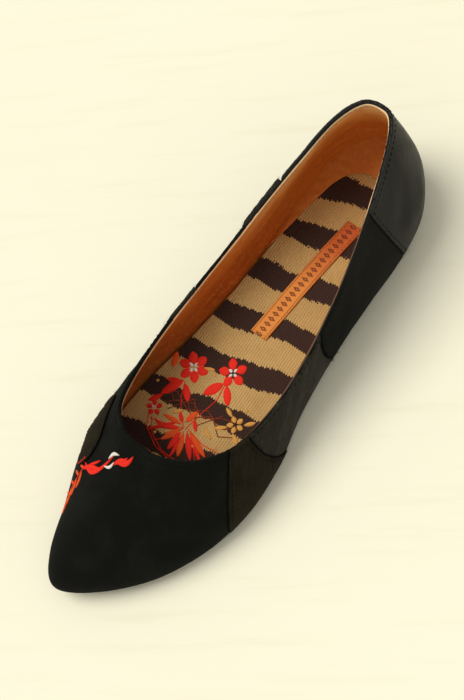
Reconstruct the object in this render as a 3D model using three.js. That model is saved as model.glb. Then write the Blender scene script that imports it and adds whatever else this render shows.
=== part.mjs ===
// A left shoe: a pointed flat of patched black leather, with a low heel and a striped insole.
// Millimetres, +Z up. The toe points along -Y and the outer side of the foot is +X.
// The origin is on the floor, under the middle of the heel.

import * as THREE from "three";

// Sizes of the last
const LENGTH = 252; // heel back to toe tip, along the edge where upper and sole meet
const BALL_WIDTH = 80; // across the ball, at the same edge
const BACK_HEIGHT = 51; // topline over the heel seat, at the heel back
const BELLY = 4; // how far the wall swells past the sole edge
const HEEL_HEIGHT = 9; // heel block and top lift together
const TOE_SPRING = 6;

// Sizes of the pieces
const WALL = 2; // leather and lining together
const PATCH_THICKNESS = 1; // of the leather that the patches are cut from
const SOLE_THICKNESS = 3;
const SOLE_INSET = 0.6; // sole edge, inside the upper's edge
const INSOLE_THICKNESS = 2.2;
const INSOLE_CUP = 1.4; // how far the insole's rim rises over its middle
const INSOLE_CLEARANCE = 0.8; // between its edge and the wall, which leans in over it at the toe
const HEEL_INSET = 2.6; // top of the heel block, inside the upper's edge
const HEEL_TAPER = 1.4; // how much the heel block narrows on its way down
const HEEL_LENGTH = 56; // heel back to breast
const BREAST_HOLLOW = 3; // depth of the breast's curve
const LIFT_THICKNESS = 3; // rubber top lift
const STRIP_WIDTH = 9;
const STRIP_LENGTH = 66;
const STRIP_THICKNESS = 0.9;
const STRIP_START = 41; // heel back to the strip's rear end
const STRIP_REAR_SHIFT = 4; // middle of the rear end, towards the outer side
const STRIP_FRONT_SHIFT = -4;
const LEAF_WIDTH = 13; // seam to free edge
const LEAF_THICKNESS = 1.2;
const LEAF_TEETH = 11;
const LEAF_TOOTH = 1.1; // depth of each tooth
const LEAF_LIFT = 12; // degrees that the leaf stands off the wall at its seam
const LEAF_CURL = 3; // how far its free edge bends back to the wall, where it is widest
const GAP = 0.3; // between two pieces that touch

// Where the bottom profile turns, as shares of the length
const SEAT_END = HEEL_LENGTH / LENGTH; // the seat is level over the whole heel
const BALL_START = 0.6;
const BALL_END = 0.78;

// The origin is under the middle of the heel's ground face.
const HEEL_BACK_Y = (HEEL_LENGTH + HEEL_INSET + HEEL_TAPER) / 2;
const HALF = BALL_WIDTH / 2;

// Sections from heel to toe. at, outer and inner place the upper's lower edge: a share of the length, and shares of
// half the ball width on each side. topAt, topOuter and topInner place the topline in the same way, and rise is its
// height over the insole as a share of the back height. The wall between the two is one curve: it leaves the lower
// edge with belly (share of the belly) and stand (share of the back height), and comes to the topline from reach
// (share of the distance in plan) and drop (share of the difference in height).
const COLUMNS = [
  "at", "outer", "inner", "topAt", "topOuter", "topInner",
  "rise", "belly", "stand", "reach", "drop",
];
const SECTIONS = [
  [   0.0,    0.0,    0.0,  0.006,    0.0,    0.0,   1.01,    1.5,    0.3,    1.3,   0.36],
  [  0.02,  0.339, -0.349,  0.018,  0.182,  -0.21,   1.02,    1.4,    0.3,    1.0,   0.36],
  [  0.08,  0.631, -0.579,   0.07,  0.359, -0.368,    1.0,    1.2,    0.3,    0.8,   0.36],
  [  0.17,  0.751, -0.655,  0.152,  0.531, -0.473,   0.91,    1.0,   0.28,    0.6,   0.36],
  [ 0.275,   0.76, -0.669,  0.238,  0.669, -0.574,  0.785,    0.9,   0.26,    0.6,   0.36],
  [ 0.385,   0.77, -0.736,  0.331,  0.765, -0.674,   0.67,    0.8,   0.25,    0.6,   0.36],
  [ 0.495,  0.832, -0.851,  0.428,  0.822, -0.765,   0.61,    0.8,   0.25,    0.6,   0.34],
  [   0.6,  0.971, -0.975,  0.525,  0.813, -0.813,  0.605,    0.8,   0.26,   0.55,   0.32],
  [ 0.705,  0.999, -1.004,  0.613,  0.732,  -0.76,  0.645,    0.8,   0.27,    0.5,    0.3],
  [ 0.805,  0.846, -0.918,  0.672,  0.521, -0.626,  0.725,    0.7,   0.27,   0.46,   0.27],
  [ 0.895,   0.55, -0.689,    0.7,  0.282, -0.411,  0.785,    0.6,   0.26,   0.44,   0.28],
  [ 0.965,  0.143, -0.502,   0.71,    0.1,  -0.21,  0.825,    0.5,   0.25,   0.44,    0.3],
  [   1.0, -0.239, -0.239,   0.71, -0.038, -0.038,   0.84,    0.4,   0.24,   0.44,   0.32],
].map((row) => Object.fromEntries(COLUMNS.map((name, k) => [name, row[k]])));

// Seams of the patches. top and foot place each seam on the topline and on the lower edge, in sections counted round
// the shoe, from the heel back along the outer side to the toe and back along the inner side. raise is how far the
// patch that starts there stands proud of the wall, as a share of the patches' thickness. The last one, the counter,
// goes on round the heel.
const SEAMS = [
  { patch: "outer rear", top: 3.25, foot: 2.9, raise: 0.5 },
  { patch: "outer middle", top: 5.5, foot: 4.95, raise: 0.2 },
  { patch: "outer front", top: 7.7, foot: 6.6, raise: 0.8 },
  { patch: "vamp", top: 8.2, foot: 8.35, raise: 0.45 },
  { patch: "inner front", top: 16.1, foot: 15.9, raise: 0.2 },
  { patch: "inner strip", top: 17.3, foot: 17.2, raise: 0.8 },
  { patch: "inner middle", top: 18.0, foot: 18.1, raise: 0.4 },
  { patch: "inner rear", top: 19.4, foot: 19.2, raise: 1.5 },
  { patch: "counter", top: 20.45, foot: 20.7, raise: 0.6 },
].map((seam) => ({ ...seam, raise: seam.raise * PATCH_THICKNESS }));

const TOE_ROW = SECTIONS.length - 1;
const ROWS_ROUND = 2 * TOE_ROW;

// Smooth step from 0 to 1 between two values.
function ease(from, to, value) {
  const t = Math.min(1, Math.max(0, (value - from) / (to - from)));
  return t * t * (3 - 2 * t);
}

// Height of the edge where upper and sole meet, from the share of the length.
function bottomHeight(at) {
  const heel = HEEL_HEIGHT * (1 - ease(SEAT_END, BALL_START, at));
  const toe = TOE_SPRING * Math.max(0, (at - BALL_END) / (1 - BALL_END)) ** 2;
  return GAP + SOLE_THICKNESS + heel + toe;
}

const yAt = (at) => HEEL_BACK_Y - at * LENGTH;
const atY = (y) => (HEEL_BACK_Y - y) / LENGTH;

// The values of one row round the shoe: outer rows, the toe, then the inner rows backwards.
function rowRound(index) {
  const i = ((index % ROWS_ROUND) + ROWS_ROUND) % ROWS_ROUND;
  const outerSide = i <= TOE_ROW;
  const s = SECTIONS[outerSide ? i : ROWS_ROUND - i];
  return {
    edgeX: HALF * (outerSide ? s.outer : s.inner),
    edgeY: yAt(s.at),
    topX: HALF * (outerSide ? s.topOuter : s.topInner),
    topY: yAt(s.topAt),
    topZ: bottomHeight(s.topAt) + BACK_HEIGHT * s.rise,
    belly: BELLY * s.belly,
    stand: BACK_HEIGHT * s.stand,
    reach: s.reach,
    drop: s.drop,
  };
}

// The same values anywhere round the shoe, as a smooth closed curve through the rows.
function around(u) {
  const i = Math.floor(u);
  const t = u - i;
  const rows = [-1, 0, 1, 2].map((step) => rowRound(i + step));
  const weights = [
    (-t + 2 * t * t - t * t * t) / 2,
    (2 - 5 * t * t + 3 * t * t * t) / 2,
    (t + 4 * t * t - 3 * t * t * t) / 2,
    (-t * t + t * t * t) / 2,
  ];
  const value = {};
  for (const key of Object.keys(rows[0])) {
    value[key] = rows.reduce((sum, row, k) => sum + weights[k] * row[key], 0);
  }
  return value;
}

// Outward direction of the lower edge, in plan.
function edgeOutward(u) {
  const step = 0.01;
  const a = around(u - step);
  const b = around(u + step);
  return new THREE.Vector3(a.edgeY - b.edgeY, b.edgeX - a.edgeX, 0).normalize();
}

// A point of the last's skin: u goes round the shoe, v from the lower edge (0) to the topline (1).
function skin(u, v) {
  const s = around(u);
  const edge = new THREE.Vector3(s.edgeX, s.edgeY, bottomHeight(atY(s.edgeY)));
  const top = new THREE.Vector3(s.topX, s.topY, s.topZ);
  const stand = edgeOutward(u).multiplyScalar(s.belly).add(edge);
  stand.z += s.stand;
  const reach = edge.clone().sub(top);
  const arrival = new THREE.Vector3(top.x + s.reach * reach.x, top.y + s.reach * reach.y, top.z + s.drop * reach.z);
  return new THREE.CubicBezierCurve3(edge, stand, arrival, top).getPoint(v);
}

// Outward direction of the skin. At the lower edge it is level, so that the wall stands square on the sole.
function outward(u, v) {
  if (v <= 0) return edgeOutward(u);
  const step = 0.004;
  const along = skin(u + step, v).sub(skin(u - step, v));
  const up = skin(u, Math.min(1, v + step)).sub(skin(u, v - step));
  return up.cross(along).normalize();
}

// The skin moved out by a distance.
function off(u, v, distance) {
  return skin(u, v).addScaledVector(outward(u, v), distance);
}

// A mesh from a grid of points. Rows close on themselves round the shoe if closed is true.
function gridFaces(index, rows, columns, closed) {
  const faces = [];
  const across = closed ? columns : columns - 1;
  for (let r = 0; r < rows - 1; r++) {
    for (let c = 0; c < across; c++) {
      const d = (c + 1) % columns;
      faces.push(index(r, c), index(r, d), index(r + 1, d));
      faces.push(index(r, c), index(r + 1, d), index(r + 1, c));
    }
  }
  return faces;
}

function geometryOf(points, faces) {
  const geometry = new THREE.BufferGeometry().setFromPoints(points);
  geometry.setIndex(faces);
  geometry.computeVertexNormals();
  return geometry;
}

// A closed tube of rings: ring after ring of the same number of points, the last joined to the first.
function ringedSolid(rings) {
  const count = rings[0].length;
  const index = (r, c) => (r % rings.length) * count + c;
  return geometryOf(rings.flat(), gridFaces(index, rings.length + 1, count, true));
}

// A closed slab between an upper and a lower grid of the same size.
function slab(upper, lower) {
  const rows = upper.length;
  const columns = upper[0].length;
  const top = (r, c) => r * columns + c;
  const under = (r, c) => rows * columns + r * columns + c;
  const faces = gridFaces(top, rows, columns, false);
  const flip = gridFaces(under, rows, columns, false);
  for (let i = 0; i < flip.length; i += 3) faces.push(flip[i], flip[i + 2], flip[i + 1]);
  const wall = (a, b) => faces.push(top(...a), under(...a), under(...b), top(...a), under(...b), top(...b));
  for (let c = 0; c < columns - 1; c++) {
    wall([0, c], [0, c + 1]);
    wall([rows - 1, c + 1], [rows - 1, c]);
  }
  for (let r = 0; r < rows - 1; r++) {
    wall([r + 1, 0], [r, 0]);
    wall([r, columns - 1], [r + 1, columns - 1]);
  }
  return geometryOf([...upper.flat(), ...lower.flat()], faces);
}

// The two sides of the lower edge at one distance from the heel, moved in by inset.
const EDGE_STEPS = 40; // points on the lower edge between two rows
const edgeLine = (inset) =>
  Array.from({ length: ROWS_ROUND * EDGE_STEPS }, (_, k) => {
    const s = around(k / EDGE_STEPS);
    return new THREE.Vector3(s.edgeX, s.edgeY, 0).addScaledVector(edgeOutward(k / EDGE_STEPS), -inset);
  });

function sidesAt(line, y) {
  const crossings = [];
  line.forEach((p, k) => {
    const q = line[(k + 1) % line.length];
    if (p.y > y !== q.y > y) crossings.push(p.x + ((q.x - p.x) * (y - p.y)) / (q.y - p.y));
  });
  return [Math.min(...crossings), Math.max(...crossings)];
}

// A plate with the sole's outline, moved in by inset, from the heel back or from a share of the length on.
// heights gives the top and the underside from the share of the length and from the place across, -1 to 1.
const END_CUT = 0.0004; // share of the length left off each end, where the outline turns
const PLATE_ROWS = 41;
function plate(inset, columns, heights) {
  const line = edgeLine(inset);
  const back = Math.max(...line.map((p) => p.y));
  const front = Math.min(...line.map((p) => p.y));
  const top = [];
  const under = [];
  for (let r = 0; r < PLATE_ROWS; r++) {
    const turn = (Math.PI * r) / (PLATE_ROWS - 1);
    const share = END_CUT + (1 - 2 * END_CUT) * ((1 - Math.cos(turn)) / 2);
    const y = back + (front - back) * share;
    const [left, right] = sidesAt(line, y);
    const across = Array.from({ length: columns }, (_, c) => (2 * c) / (columns - 1) - 1);
    const point = (w, key) =>
      new THREE.Vector3(left + ((right - left) * (w + 1)) / 2, y, heights(atY(y), w)[key]);
    top.push(across.map((w) => point(-w, "top")));
    under.push(across.map((w) => point(-w, "under")));
  }
  return slab(top, under);
}

const seamPlace = (seam, v) => seam.foot + (seam.top - seam.foot) * v;

// How far the wall is raised at a point of the skin: by the last seam before it, going round.
function raiseAt(u, v) {
  const turned = u < seamPlace(SEAMS[0], v) ? u + ROWS_ROUND : u;
  return SEAMS.findLast((seam) => seamPlace(seam, v) <= turned).raise;
}

// Places round the shoe where the upper has a section, at one height: evenly spread over each patch, seam to seam.
const STEPS_PER_ROW = 4;
const SEAM_STEP = 0.012; // from a seam to the sections beside it, in rows
function stations(v) {
  return SEAMS.flatMap((seam, k) => {
    const next = SEAMS[(k + 1) % SEAMS.length];
    const turn = k + 1 < SEAMS.length ? 0 : ROWS_ROUND;
    const steps = Math.ceil(((next.top + next.foot) / 2 + turn - (seam.top + seam.foot) / 2) * STEPS_PER_ROW);
    const from = seamPlace(seam, v) + SEAM_STEP;
    const to = seamPlace(next, v) + turn - SEAM_STEP;
    return Array.from({ length: steps + 1 }, (_, i) => ({
      u: from + ((to - from) * i) / steps,
      raise: seam.raise,
    }));
  });
}

const WALL_STEPS = 12;
function upper() {
  const heights = Array.from({ length: WALL_STEPS + 1 }, (_, k) => k / WALL_STEPS);
  const outside = heights.map((v) => stations(v).map((place) => off(place.u, v, place.raise)));
  const inside = heights.map((v) => stations(v).map((place) => off(place.u, v, -WALL)));
  return ringedSolid([...inside, ...outside.reverse()]);
}

function outsole() {
  return plate(SOLE_INSET, 5, (at) => {
    const top = bottomHeight(at) - GAP;
    return { top, under: top - SOLE_THICKNESS };
  });
}

function insoleTop(at, across) {
  return bottomHeight(at) + INSOLE_THICKNESS + INSOLE_CUP * across * across;
}

function insole() {
  return plate(WALL + INSOLE_CLEARANCE, 9, (at, across) => ({ top: insoleTop(at, across), under: bottomHeight(at) }));
}

// The heel's outline at one level, from the breast's outer corner round the back to its inner corner.
function heelOutline(inset, z) {
  const line = edgeLine(inset);
  const breastY = HEEL_BACK_Y - HEEL_LENGTH;
  const steps = 24;
  const [inner, outer] = sidesAt(line, breastY);
  const back = Math.max(...line.map((p) => p.y));
  const outline = [];
  for (let k = 0; k <= 2 * steps; k++) {
    const swing = (Math.PI * k) / (2 * steps);
    const y = breastY + (back - END_CUT * LENGTH - breastY) * Math.sin(swing);
    const [left, right] = sidesAt(line, y);
    outline.push(new THREE.Vector3(k <= steps ? right : left, y, z));
  }
  const breast = new THREE.QuadraticBezierCurve3(
    new THREE.Vector3(inner, breastY, z),
    new THREE.Vector3((inner + outer) / 2, breastY + 2 * BREAST_HOLLOW, z),
    new THREE.Vector3(outer, breastY, z),
  );
  return [...outline, ...breast.getPoints(10).slice(1, -1)];
}

// A solid between two outlines of the same number of points, one over the other.
function stack(lower, upperOutline) {
  const count = lower.length;
  const flat = lower.map((p) => new THREE.Vector2(p.x, p.y));
  const caps = THREE.ShapeUtils.triangulateShape(flat, []);
  const faces = gridFaces((r, c) => r * count + c, 2, count, true);
  for (const [a, b, c] of caps) {
    faces.push(a, c, b);
    faces.push(count + a, count + b, count + c);
  }
  return geometryOf([...lower, ...upperOutline], faces);
}

function heelBlock() {
  const seat = bottomHeight(0) - SOLE_THICKNESS - 2 * GAP;
  return stack(
    heelOutline(HEEL_INSET + HEEL_TAPER, LIFT_THICKNESS + GAP),
    heelOutline(HEEL_INSET, seat),
  );
}

function topLift() {
  const inset = HEEL_INSET + HEEL_TAPER;
  return stack(heelOutline(inset, 0), heelOutline(inset, LIFT_THICKNESS));
}

// The leather strip on the insole's rear half, slanting a little inwards as it goes forward.
function insoleStrip() {
  const line = edgeLine(WALL + INSOLE_CLEARANCE);
  const rows = 15;
  const columns = 3;
  const surface = (level) =>
    Array.from({ length: rows }, (_, r) => {
      const along = r / (rows - 1);
      const y = HEEL_BACK_Y - STRIP_START - STRIP_LENGTH * along;
      const shift = STRIP_REAR_SHIFT + (STRIP_FRONT_SHIFT - STRIP_REAR_SHIFT) * along;
      const [left, right] = sidesAt(line, y);
      return Array.from({ length: columns }, (__, c) => {
        const x = shift + STRIP_WIDTH * (0.5 - c / (columns - 1));
        const across = (2 * (x - left)) / (right - left) - 1;
        return new THREE.Vector3(x, y, insoleTop(atY(y), across) + GAP + level);
      });
    });
  return slab(surface(STRIP_THICKNESS), surface(0));
}

// The leaf: a serrated flap sewn by one edge to the inner side of the vamp. Its seam runs from the throat's corner
// forward and down, and it stands off the wall from there, bent back a little. u and v place the seam's ends and its
// bow on the skin.
const LEAF_SEAM = new THREE.QuadraticBezierCurve(
  new THREE.Vector2(15.5, 0.88),
  new THREE.Vector2(13.8, 0.83),
  new THREE.Vector2(14.45, 0.5),
);
const LEAF_END = 0.02; // where the leaf's width starts on its half wave, so that both ends are narrow
function leafRib(along) {
  const step = 0.01;
  const place = (t) => {
    const { x: u, y: v } = LEAF_SEAM.getPoint(t);
    return off(u, v, raiseAt(u, v) + GAP);
  };
  const { x: u, y: v } = LEAF_SEAM.getPoint(along);
  const out = outward(u, v);
  const forward = place(Math.min(1, along + step)).sub(place(Math.max(0, along - step))).normalize();
  const lift = THREE.MathUtils.degToRad(LEAF_LIFT);
  const down = forward.clone().cross(out).normalize();
  const way = down.multiplyScalar(Math.cos(lift)).addScaledVector(out, Math.sin(lift));
  return { base: place(along), way, normal: way.clone().cross(forward).normalize(), out };
}

function sideLeaf() {
  const rows = 4 * LEAF_TEETH + 1;
  const columns = 6;
  const surface = (level) =>
    Array.from({ length: rows }, (_, r) => {
      const along = r / (rows - 1);
      const { base, way, normal, out } = leafRib(along);
      const tooth = LEAF_TOOTH * ((r % 4) / 3 - 1);
      const width = LEAF_WIDTH * Math.sin(Math.PI * (LEAF_END + (1 - 2 * LEAF_END) * along)) ** 0.5 + tooth;
      return Array.from({ length: columns }, (__, c) => {
        const across = (width * c) / (columns - 1);
        return base
          .clone()
          .addScaledVector(way, across)
          .addScaledVector(normal, level)
          .addScaledVector(out, -LEAF_CURL * (across / LEAF_WIDTH) ** 2);
      });
    });
  return slab(surface(LEAF_THICKNESS), surface(0));
}

const finishes = {
  suede: { color: 0x0c0b0a, roughness: 0.95 },
  soleLeather: { color: 0x17120e, roughness: 0.6 },
  rubber: { color: 0x0e0d0c, roughness: 0.8 },
  knit: { color: 0x8a6a44, roughness: 0.95 },
  tan: { color: 0xb0541c, roughness: 0.6 },
};

function piece(name, geometry, finish) {
  const mesh = new THREE.Mesh(geometry, new THREE.MeshStandardMaterial({ ...finish, metalness: 0 }));
  mesh.name = name;
  return mesh;
}

const shoe = new THREE.Group();
shoe.add(
  piece("upper", upper(), finishes.suede),
  piece("outsole", outsole(), finishes.soleLeather),
  piece("heel_block", heelBlock(), finishes.soleLeather),
  piece("heel_top_lift", topLift(), finishes.rubber),
  piece("insole", insole(), finishes.knit),
  piece("insole_strip", insoleStrip(), finishes.tan),
  piece("side_leaf", sideLeaf(), finishes.suede),
);

export default shoe;
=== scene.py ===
# A left shoe: a pointed flat of patched black leather, with a low heel, a tan lining and a striped knit
# insole. Sizes are in millimetres. The toe points along -Y, the outer side of the foot is +X, and the floor
# is at 0.

import math

import bmesh
import bpy
import numpy as np
from mathutils import Matrix, Vector


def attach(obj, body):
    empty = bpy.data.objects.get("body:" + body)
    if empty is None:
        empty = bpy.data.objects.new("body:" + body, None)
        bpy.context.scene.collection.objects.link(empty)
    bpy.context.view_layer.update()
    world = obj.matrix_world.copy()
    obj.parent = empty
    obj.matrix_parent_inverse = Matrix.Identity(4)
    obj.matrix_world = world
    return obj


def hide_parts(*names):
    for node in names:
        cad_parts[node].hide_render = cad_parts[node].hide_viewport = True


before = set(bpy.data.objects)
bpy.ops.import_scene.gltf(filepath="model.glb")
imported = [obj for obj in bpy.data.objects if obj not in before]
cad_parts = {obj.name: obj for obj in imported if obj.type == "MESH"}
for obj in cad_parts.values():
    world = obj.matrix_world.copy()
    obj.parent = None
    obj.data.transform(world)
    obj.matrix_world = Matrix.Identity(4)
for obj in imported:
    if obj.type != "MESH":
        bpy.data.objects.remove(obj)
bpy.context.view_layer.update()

MM = 0.001

# Sizes of the last and of the pieces, as the construction has them
LENGTH = 252.0
BALL_WIDTH = 80.0
BACK_HEIGHT = 51.0
BELLY = 4.0
HEEL_HEIGHT = 9.0
TOE_SPRING = 6.0
WALL = 2.0
SOLE_THICKNESS = 3.0
SOLE_INSET = 0.6
INSOLE_THICKNESS = 2.2
INSOLE_CUP = 1.4
INSOLE_CLEARANCE = 0.8
HEEL_INSET = 2.6
HEEL_TAPER = 1.4
HEEL_LENGTH = 56.0
BREAST_HOLLOW = 3.0
LIFT_THICKNESS = 3.0
STRIP_WIDTH = 9.0
STRIP_LENGTH = 66.0
STRIP_THICKNESS = 0.9
STRIP_START = 41.0
STRIP_REAR_SHIFT = 4.0
STRIP_FRONT_SHIFT = -4.0
LEAF_WIDTH = 13.0
LEAF_THICKNESS = 1.2
LEAF_TEETH = 11
LEAF_TOOTH = 1.1
LEAF_LIFT = math.radians(12)
LEAF_CURL = 3.0
LEAF_END = 0.02
LEAF_FULLNESS = 0.5
GAP = 0.3
SEAT_END = HEEL_LENGTH / LENGTH
BALL_START = 0.6
BALL_END = 0.78
HEEL_BACK_Y = (HEEL_LENGTH + HEEL_INSET + HEEL_TAPER) / 2
HALF = BALL_WIDTH / 2

# Layers of the wall, as distances outwards from the skin
LINING_FACE = -WALL
LINING_BACK = -1.25
BACKING_FACE = -0.2

# Sections from heel to toe, in the construction's columns: at, outer, inner, top_at, top_outer, top_inner,
# rise, belly, stand, reach, drop
SECTIONS = [
    (0.0, 0.0, 0.0, 0.006, 0.0, 0.0, 1.01, 1.5, 0.3, 1.3, 0.36),
    (0.02, 0.339, -0.349, 0.018, 0.182, -0.21, 1.02, 1.4, 0.3, 1.0, 0.36),
    (0.08, 0.631, -0.579, 0.07, 0.359, -0.368, 1.0, 1.2, 0.3, 0.8, 0.36),
    (0.17, 0.751, -0.655, 0.152, 0.531, -0.473, 0.91, 1.0, 0.28, 0.6, 0.36),
    (0.275, 0.76, -0.669, 0.238, 0.669, -0.574, 0.785, 0.9, 0.26, 0.6, 0.36),
    (0.385, 0.77, -0.736, 0.331, 0.765, -0.674, 0.67, 0.8, 0.25, 0.6, 0.36),
    (0.495, 0.832, -0.851, 0.428, 0.822, -0.765, 0.61, 0.8, 0.25, 0.6, 0.34),
    (0.6, 0.971, -0.975, 0.525, 0.813, -0.813, 0.605, 0.8, 0.26, 0.55, 0.32),
    (0.705, 0.999, -1.004, 0.613, 0.732, -0.76, 0.645, 0.8, 0.27, 0.5, 0.3),
    (0.805, 0.846, -0.918, 0.672, 0.521, -0.626, 0.725, 0.7, 0.27, 0.46, 0.27),
    (0.895, 0.55, -0.689, 0.7, 0.282, -0.411, 0.785, 0.6, 0.26, 0.44, 0.28),
    (0.965, 0.143, -0.502, 0.71, 0.1, -0.21, 0.825, 0.5, 0.25, 0.44, 0.3),
    (1.0, -0.239, -0.239, 0.71, -0.038, -0.038, 0.84, 0.4, 0.24, 0.44, 0.32),
]
TOE_ROW = len(SECTIONS) - 1
ROUND = 2 * TOE_ROW

# Patches round the wall, each from its seam to the next one's: name, seam's place on the topline and on the
# lower edge, how far it stands proud, and its finish. Places count sections round the shoe from the heel
# back.
PATCHES = [
    ("outer_rear", 3.25, 2.9, 0.5, "suede"),
    ("outer_middle", 5.5, 4.95, 0.2, "crinkled leather"),
    ("outer_front", 7.7, 6.6, 0.8, "brushed leather"),
    ("vamp", 8.2, 8.35, 0.45, "suede"),
    ("inner_front", 16.1, 15.9, 0.2, "suede"),
    ("inner_band", 17.3, 17.2, 0.8, "crinkled leather"),
    ("inner_middle", 18.0, 18.1, 0.4, "suede"),
    ("inner_rear", 19.4, 19.2, 1.5, "crinkled leather"),
    ("counter", 20.45, 20.7, 0.6, "smooth leather"),
]
VAMP_PROUD = next(proud for name, _, _, proud, _ in PATCHES if name == "vamp")

# Creases and soft ridges in the wall: three places (u, v) along each, its width, and its depth, which is
# negative for a ridge
CREASES = [
    ((7.4, 0.92), (7.9, 0.6), (7.7, 0.25), 3.0, 0.5),
    ((8.6, 0.9), (8.9, 0.6), (8.7, 0.3), 3.5, 0.35),
    ((7.0, 0.8), (7.3, 0.5), (7.1, 0.2), 2.6, 0.4),
    ((6.2, 0.97), (6.5, 0.75), (6.3, 0.5), 2.2, 0.45),
    ((5.7, 0.97), (5.9, 0.8), (5.8, 0.6), 1.8, 0.35),
    ((9.8, 0.75), (11.6, 0.66), (13.4, 0.72), 5.0, 0.25),
    ((15.4, 0.9), (15.9, 0.6), (15.7, 0.25), 3.2, 0.45),
    ((16.4, 0.95), (16.7, 0.65), (16.5, 0.3), 2.6, 0.4),
    ((2.0, 0.75), (2.6, 0.6), (2.9, 0.35), 4.0, 0.4),
    ((1.2, 0.45), (2.0, 0.38), (2.7, 0.3), 5.0, -0.35),
    ((22.0, 0.7), (21.4, 0.55), (21.0, 0.35), 4.0, 0.4),
    ((3.8, 0.9), (4.2, 0.6), (4.0, 0.3), 3.0, 0.3),
    ((4.6, 0.6), (4.9, 0.4), (4.7, 0.15), 2.5, 0.3),
    ((18.6, 0.85), (18.9, 0.5), (18.7, 0.2), 3.0, 0.35),
]

# Wrinkles in the lining, in the same way. A wrinkle stands into the shoe.
LINING_WRINKLES = [
    ((0.6, 0.55), (1.4, 0.5), (2.2, 0.42), 2.2, 0.7),
    ((23.2, 0.6), (22.4, 0.52), (21.6, 0.5), 2.4, 0.6),
    ((22.9, 0.35), (22.0, 0.3), (21.0, 0.34), 2.0, 0.6),
    ((20.9, 0.62), (20.0, 0.5), (19.2, 0.52), 2.6, 0.5),
    ((19.4, 0.3), (18.4, 0.34), (17.6, 0.26), 2.2, 0.55),
    ((18.2, 0.66), (17.3, 0.6), (16.6, 0.66), 2.0, 0.45),
    ((1.8, 0.75), (2.6, 0.68), (3.4, 0.6), 2.0, 0.45),
    ((3.4, 0.4), (4.2, 0.42), (5.0, 0.34), 2.4, 0.5),
]


# Form of the last

def ease(start, end, value):
    """Smooth step from 0 to 1 between two values."""
    t = np.clip((value - start) / (end - start), 0, 1)
    return t * t * (3 - 2 * t)


def bottom_height(at):
    """Height of the edge where upper and sole meet, from the share of the length."""
    heel = HEEL_HEIGHT * (1 - ease(SEAT_END, BALL_START, at))
    toe = TOE_SPRING * np.maximum(0, (at - BALL_END) / (1 - BALL_END)) ** 2
    return GAP + SOLE_THICKNESS + heel + toe


def y_at(at):
    return HEEL_BACK_Y - at * LENGTH


def at_y(y):
    return (HEEL_BACK_Y - y) / LENGTH


def rows_round():
    """Rows round the shoe, in millimetres: outer side, toe, then inner side backwards."""
    rows = []
    for i in range(ROUND):
        outer_side = i <= TOE_ROW
        section = SECTIONS[i if outer_side else ROUND - i]
        at, outer, inner, top_at, top_outer, top_inner, rise, belly, stand, reach, drop = section
        rows.append((
            HALF * (outer if outer_side else inner),
            y_at(at),
            HALF * (top_outer if outer_side else top_inner),
            y_at(top_at),
            float(bottom_height(top_at)) + BACK_HEIGHT * rise,
            BELLY * belly,
            BACK_HEIGHT * stand,
            reach,
            drop,
        ))
    return np.array(rows)


ROWS = rows_round()


def around(u):
    """The rows' values anywhere round the shoe, as a smooth closed curve through the rows."""
    u = np.asarray(u, float)
    i = np.floor(u).astype(int)
    t = (u - i)[..., None]
    weights = (
        (-t + 2 * t**2 - t**3) / 2,
        (2 - 5 * t**2 + 3 * t**3) / 2,
        (t + 4 * t**2 - 3 * t**3) / 2,
        (-(t**2) + t**3) / 2,
    )
    return sum(weight * ROWS[(i + step) % ROUND] for weight, step in zip(weights, (-1, 0, 1, 2)))


def unit(vectors):
    return vectors / np.linalg.norm(vectors, axis=-1, keepdims=True)


def edge_outward(u):
    """Outward direction of the lower edge, in plan."""
    step = 0.01
    way = around(u + step)[..., :2] - around(u - step)[..., :2]
    return unit(np.stack([-way[..., 1], way[..., 0], 0 * way[..., 0]], -1))


def skin(u, v):
    """A point of the last's skin: u goes round the shoe, v from the lower edge (0) to the topline (1)."""
    u, v = np.broadcast_arrays(np.asarray(u, float), np.asarray(v, float))
    row = around(u)
    edge = np.stack([row[..., 0], row[..., 1], bottom_height(at_y(row[..., 1]))], -1)
    top = row[..., 2:5]
    stand = edge + edge_outward(u) * row[..., 5:6]
    stand[..., 2] += row[..., 6]
    share = row[..., [7, 7, 8]]
    arrival = top + share * (edge - top)
    v = v[..., None]
    return (1 - v) ** 3 * edge + 3 * (1 - v) ** 2 * v * stand + 3 * (1 - v) * v**2 * arrival + v**3 * top


def outward(u, v):
    """Outward direction of the skin."""
    step = 0.004
    along = skin(u + step, v) - skin(u - step, v)
    up = skin(u, np.minimum(1, v + step)) - skin(u, np.maximum(0, v - step))
    return unit(np.cross(up, along))


def off(u, v, distance):
    """The skin moved out by a distance."""
    return skin(u, v) + outward(u, v) * np.asarray(distance, float)[..., None]


def girth_per_row(u, v):
    """Millimetres round the shoe for one row."""
    step = 0.02
    return np.linalg.norm(skin(u + step, v) - skin(u - step, v), axis=-1) / (2 * step)


def lengths_along(line):
    """Length of a line of points up to each of them."""
    return np.concatenate([[0], np.cumsum(np.linalg.norm(np.diff(line, axis=0), axis=1))])


# Places round the shoe, past both ends of the round, and the length half way up the wall to each
GIRTH_PLACES = np.linspace(-1, ROUND + 8, 1200)
GIRTH_LENGTHS = lengths_along(skin(GIRTH_PLACES, 0.5))


def girth(u):
    """Millimetres round the shoe from the heel back."""
    return np.interp(u, GIRTH_PLACES, GIRTH_LENGTHS) - np.interp(0, GIRTH_PLACES, GIRTH_LENGTHS)


def wall_height(u):
    """Length of the wall from the lower edge to the topline."""
    steps = 12
    points = [skin(u, k / steps) for k in range(steps + 1)]
    return sum(np.linalg.norm(b - a, axis=-1) for a, b in zip(points, points[1:]))


# Relief of the surfaces

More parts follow.
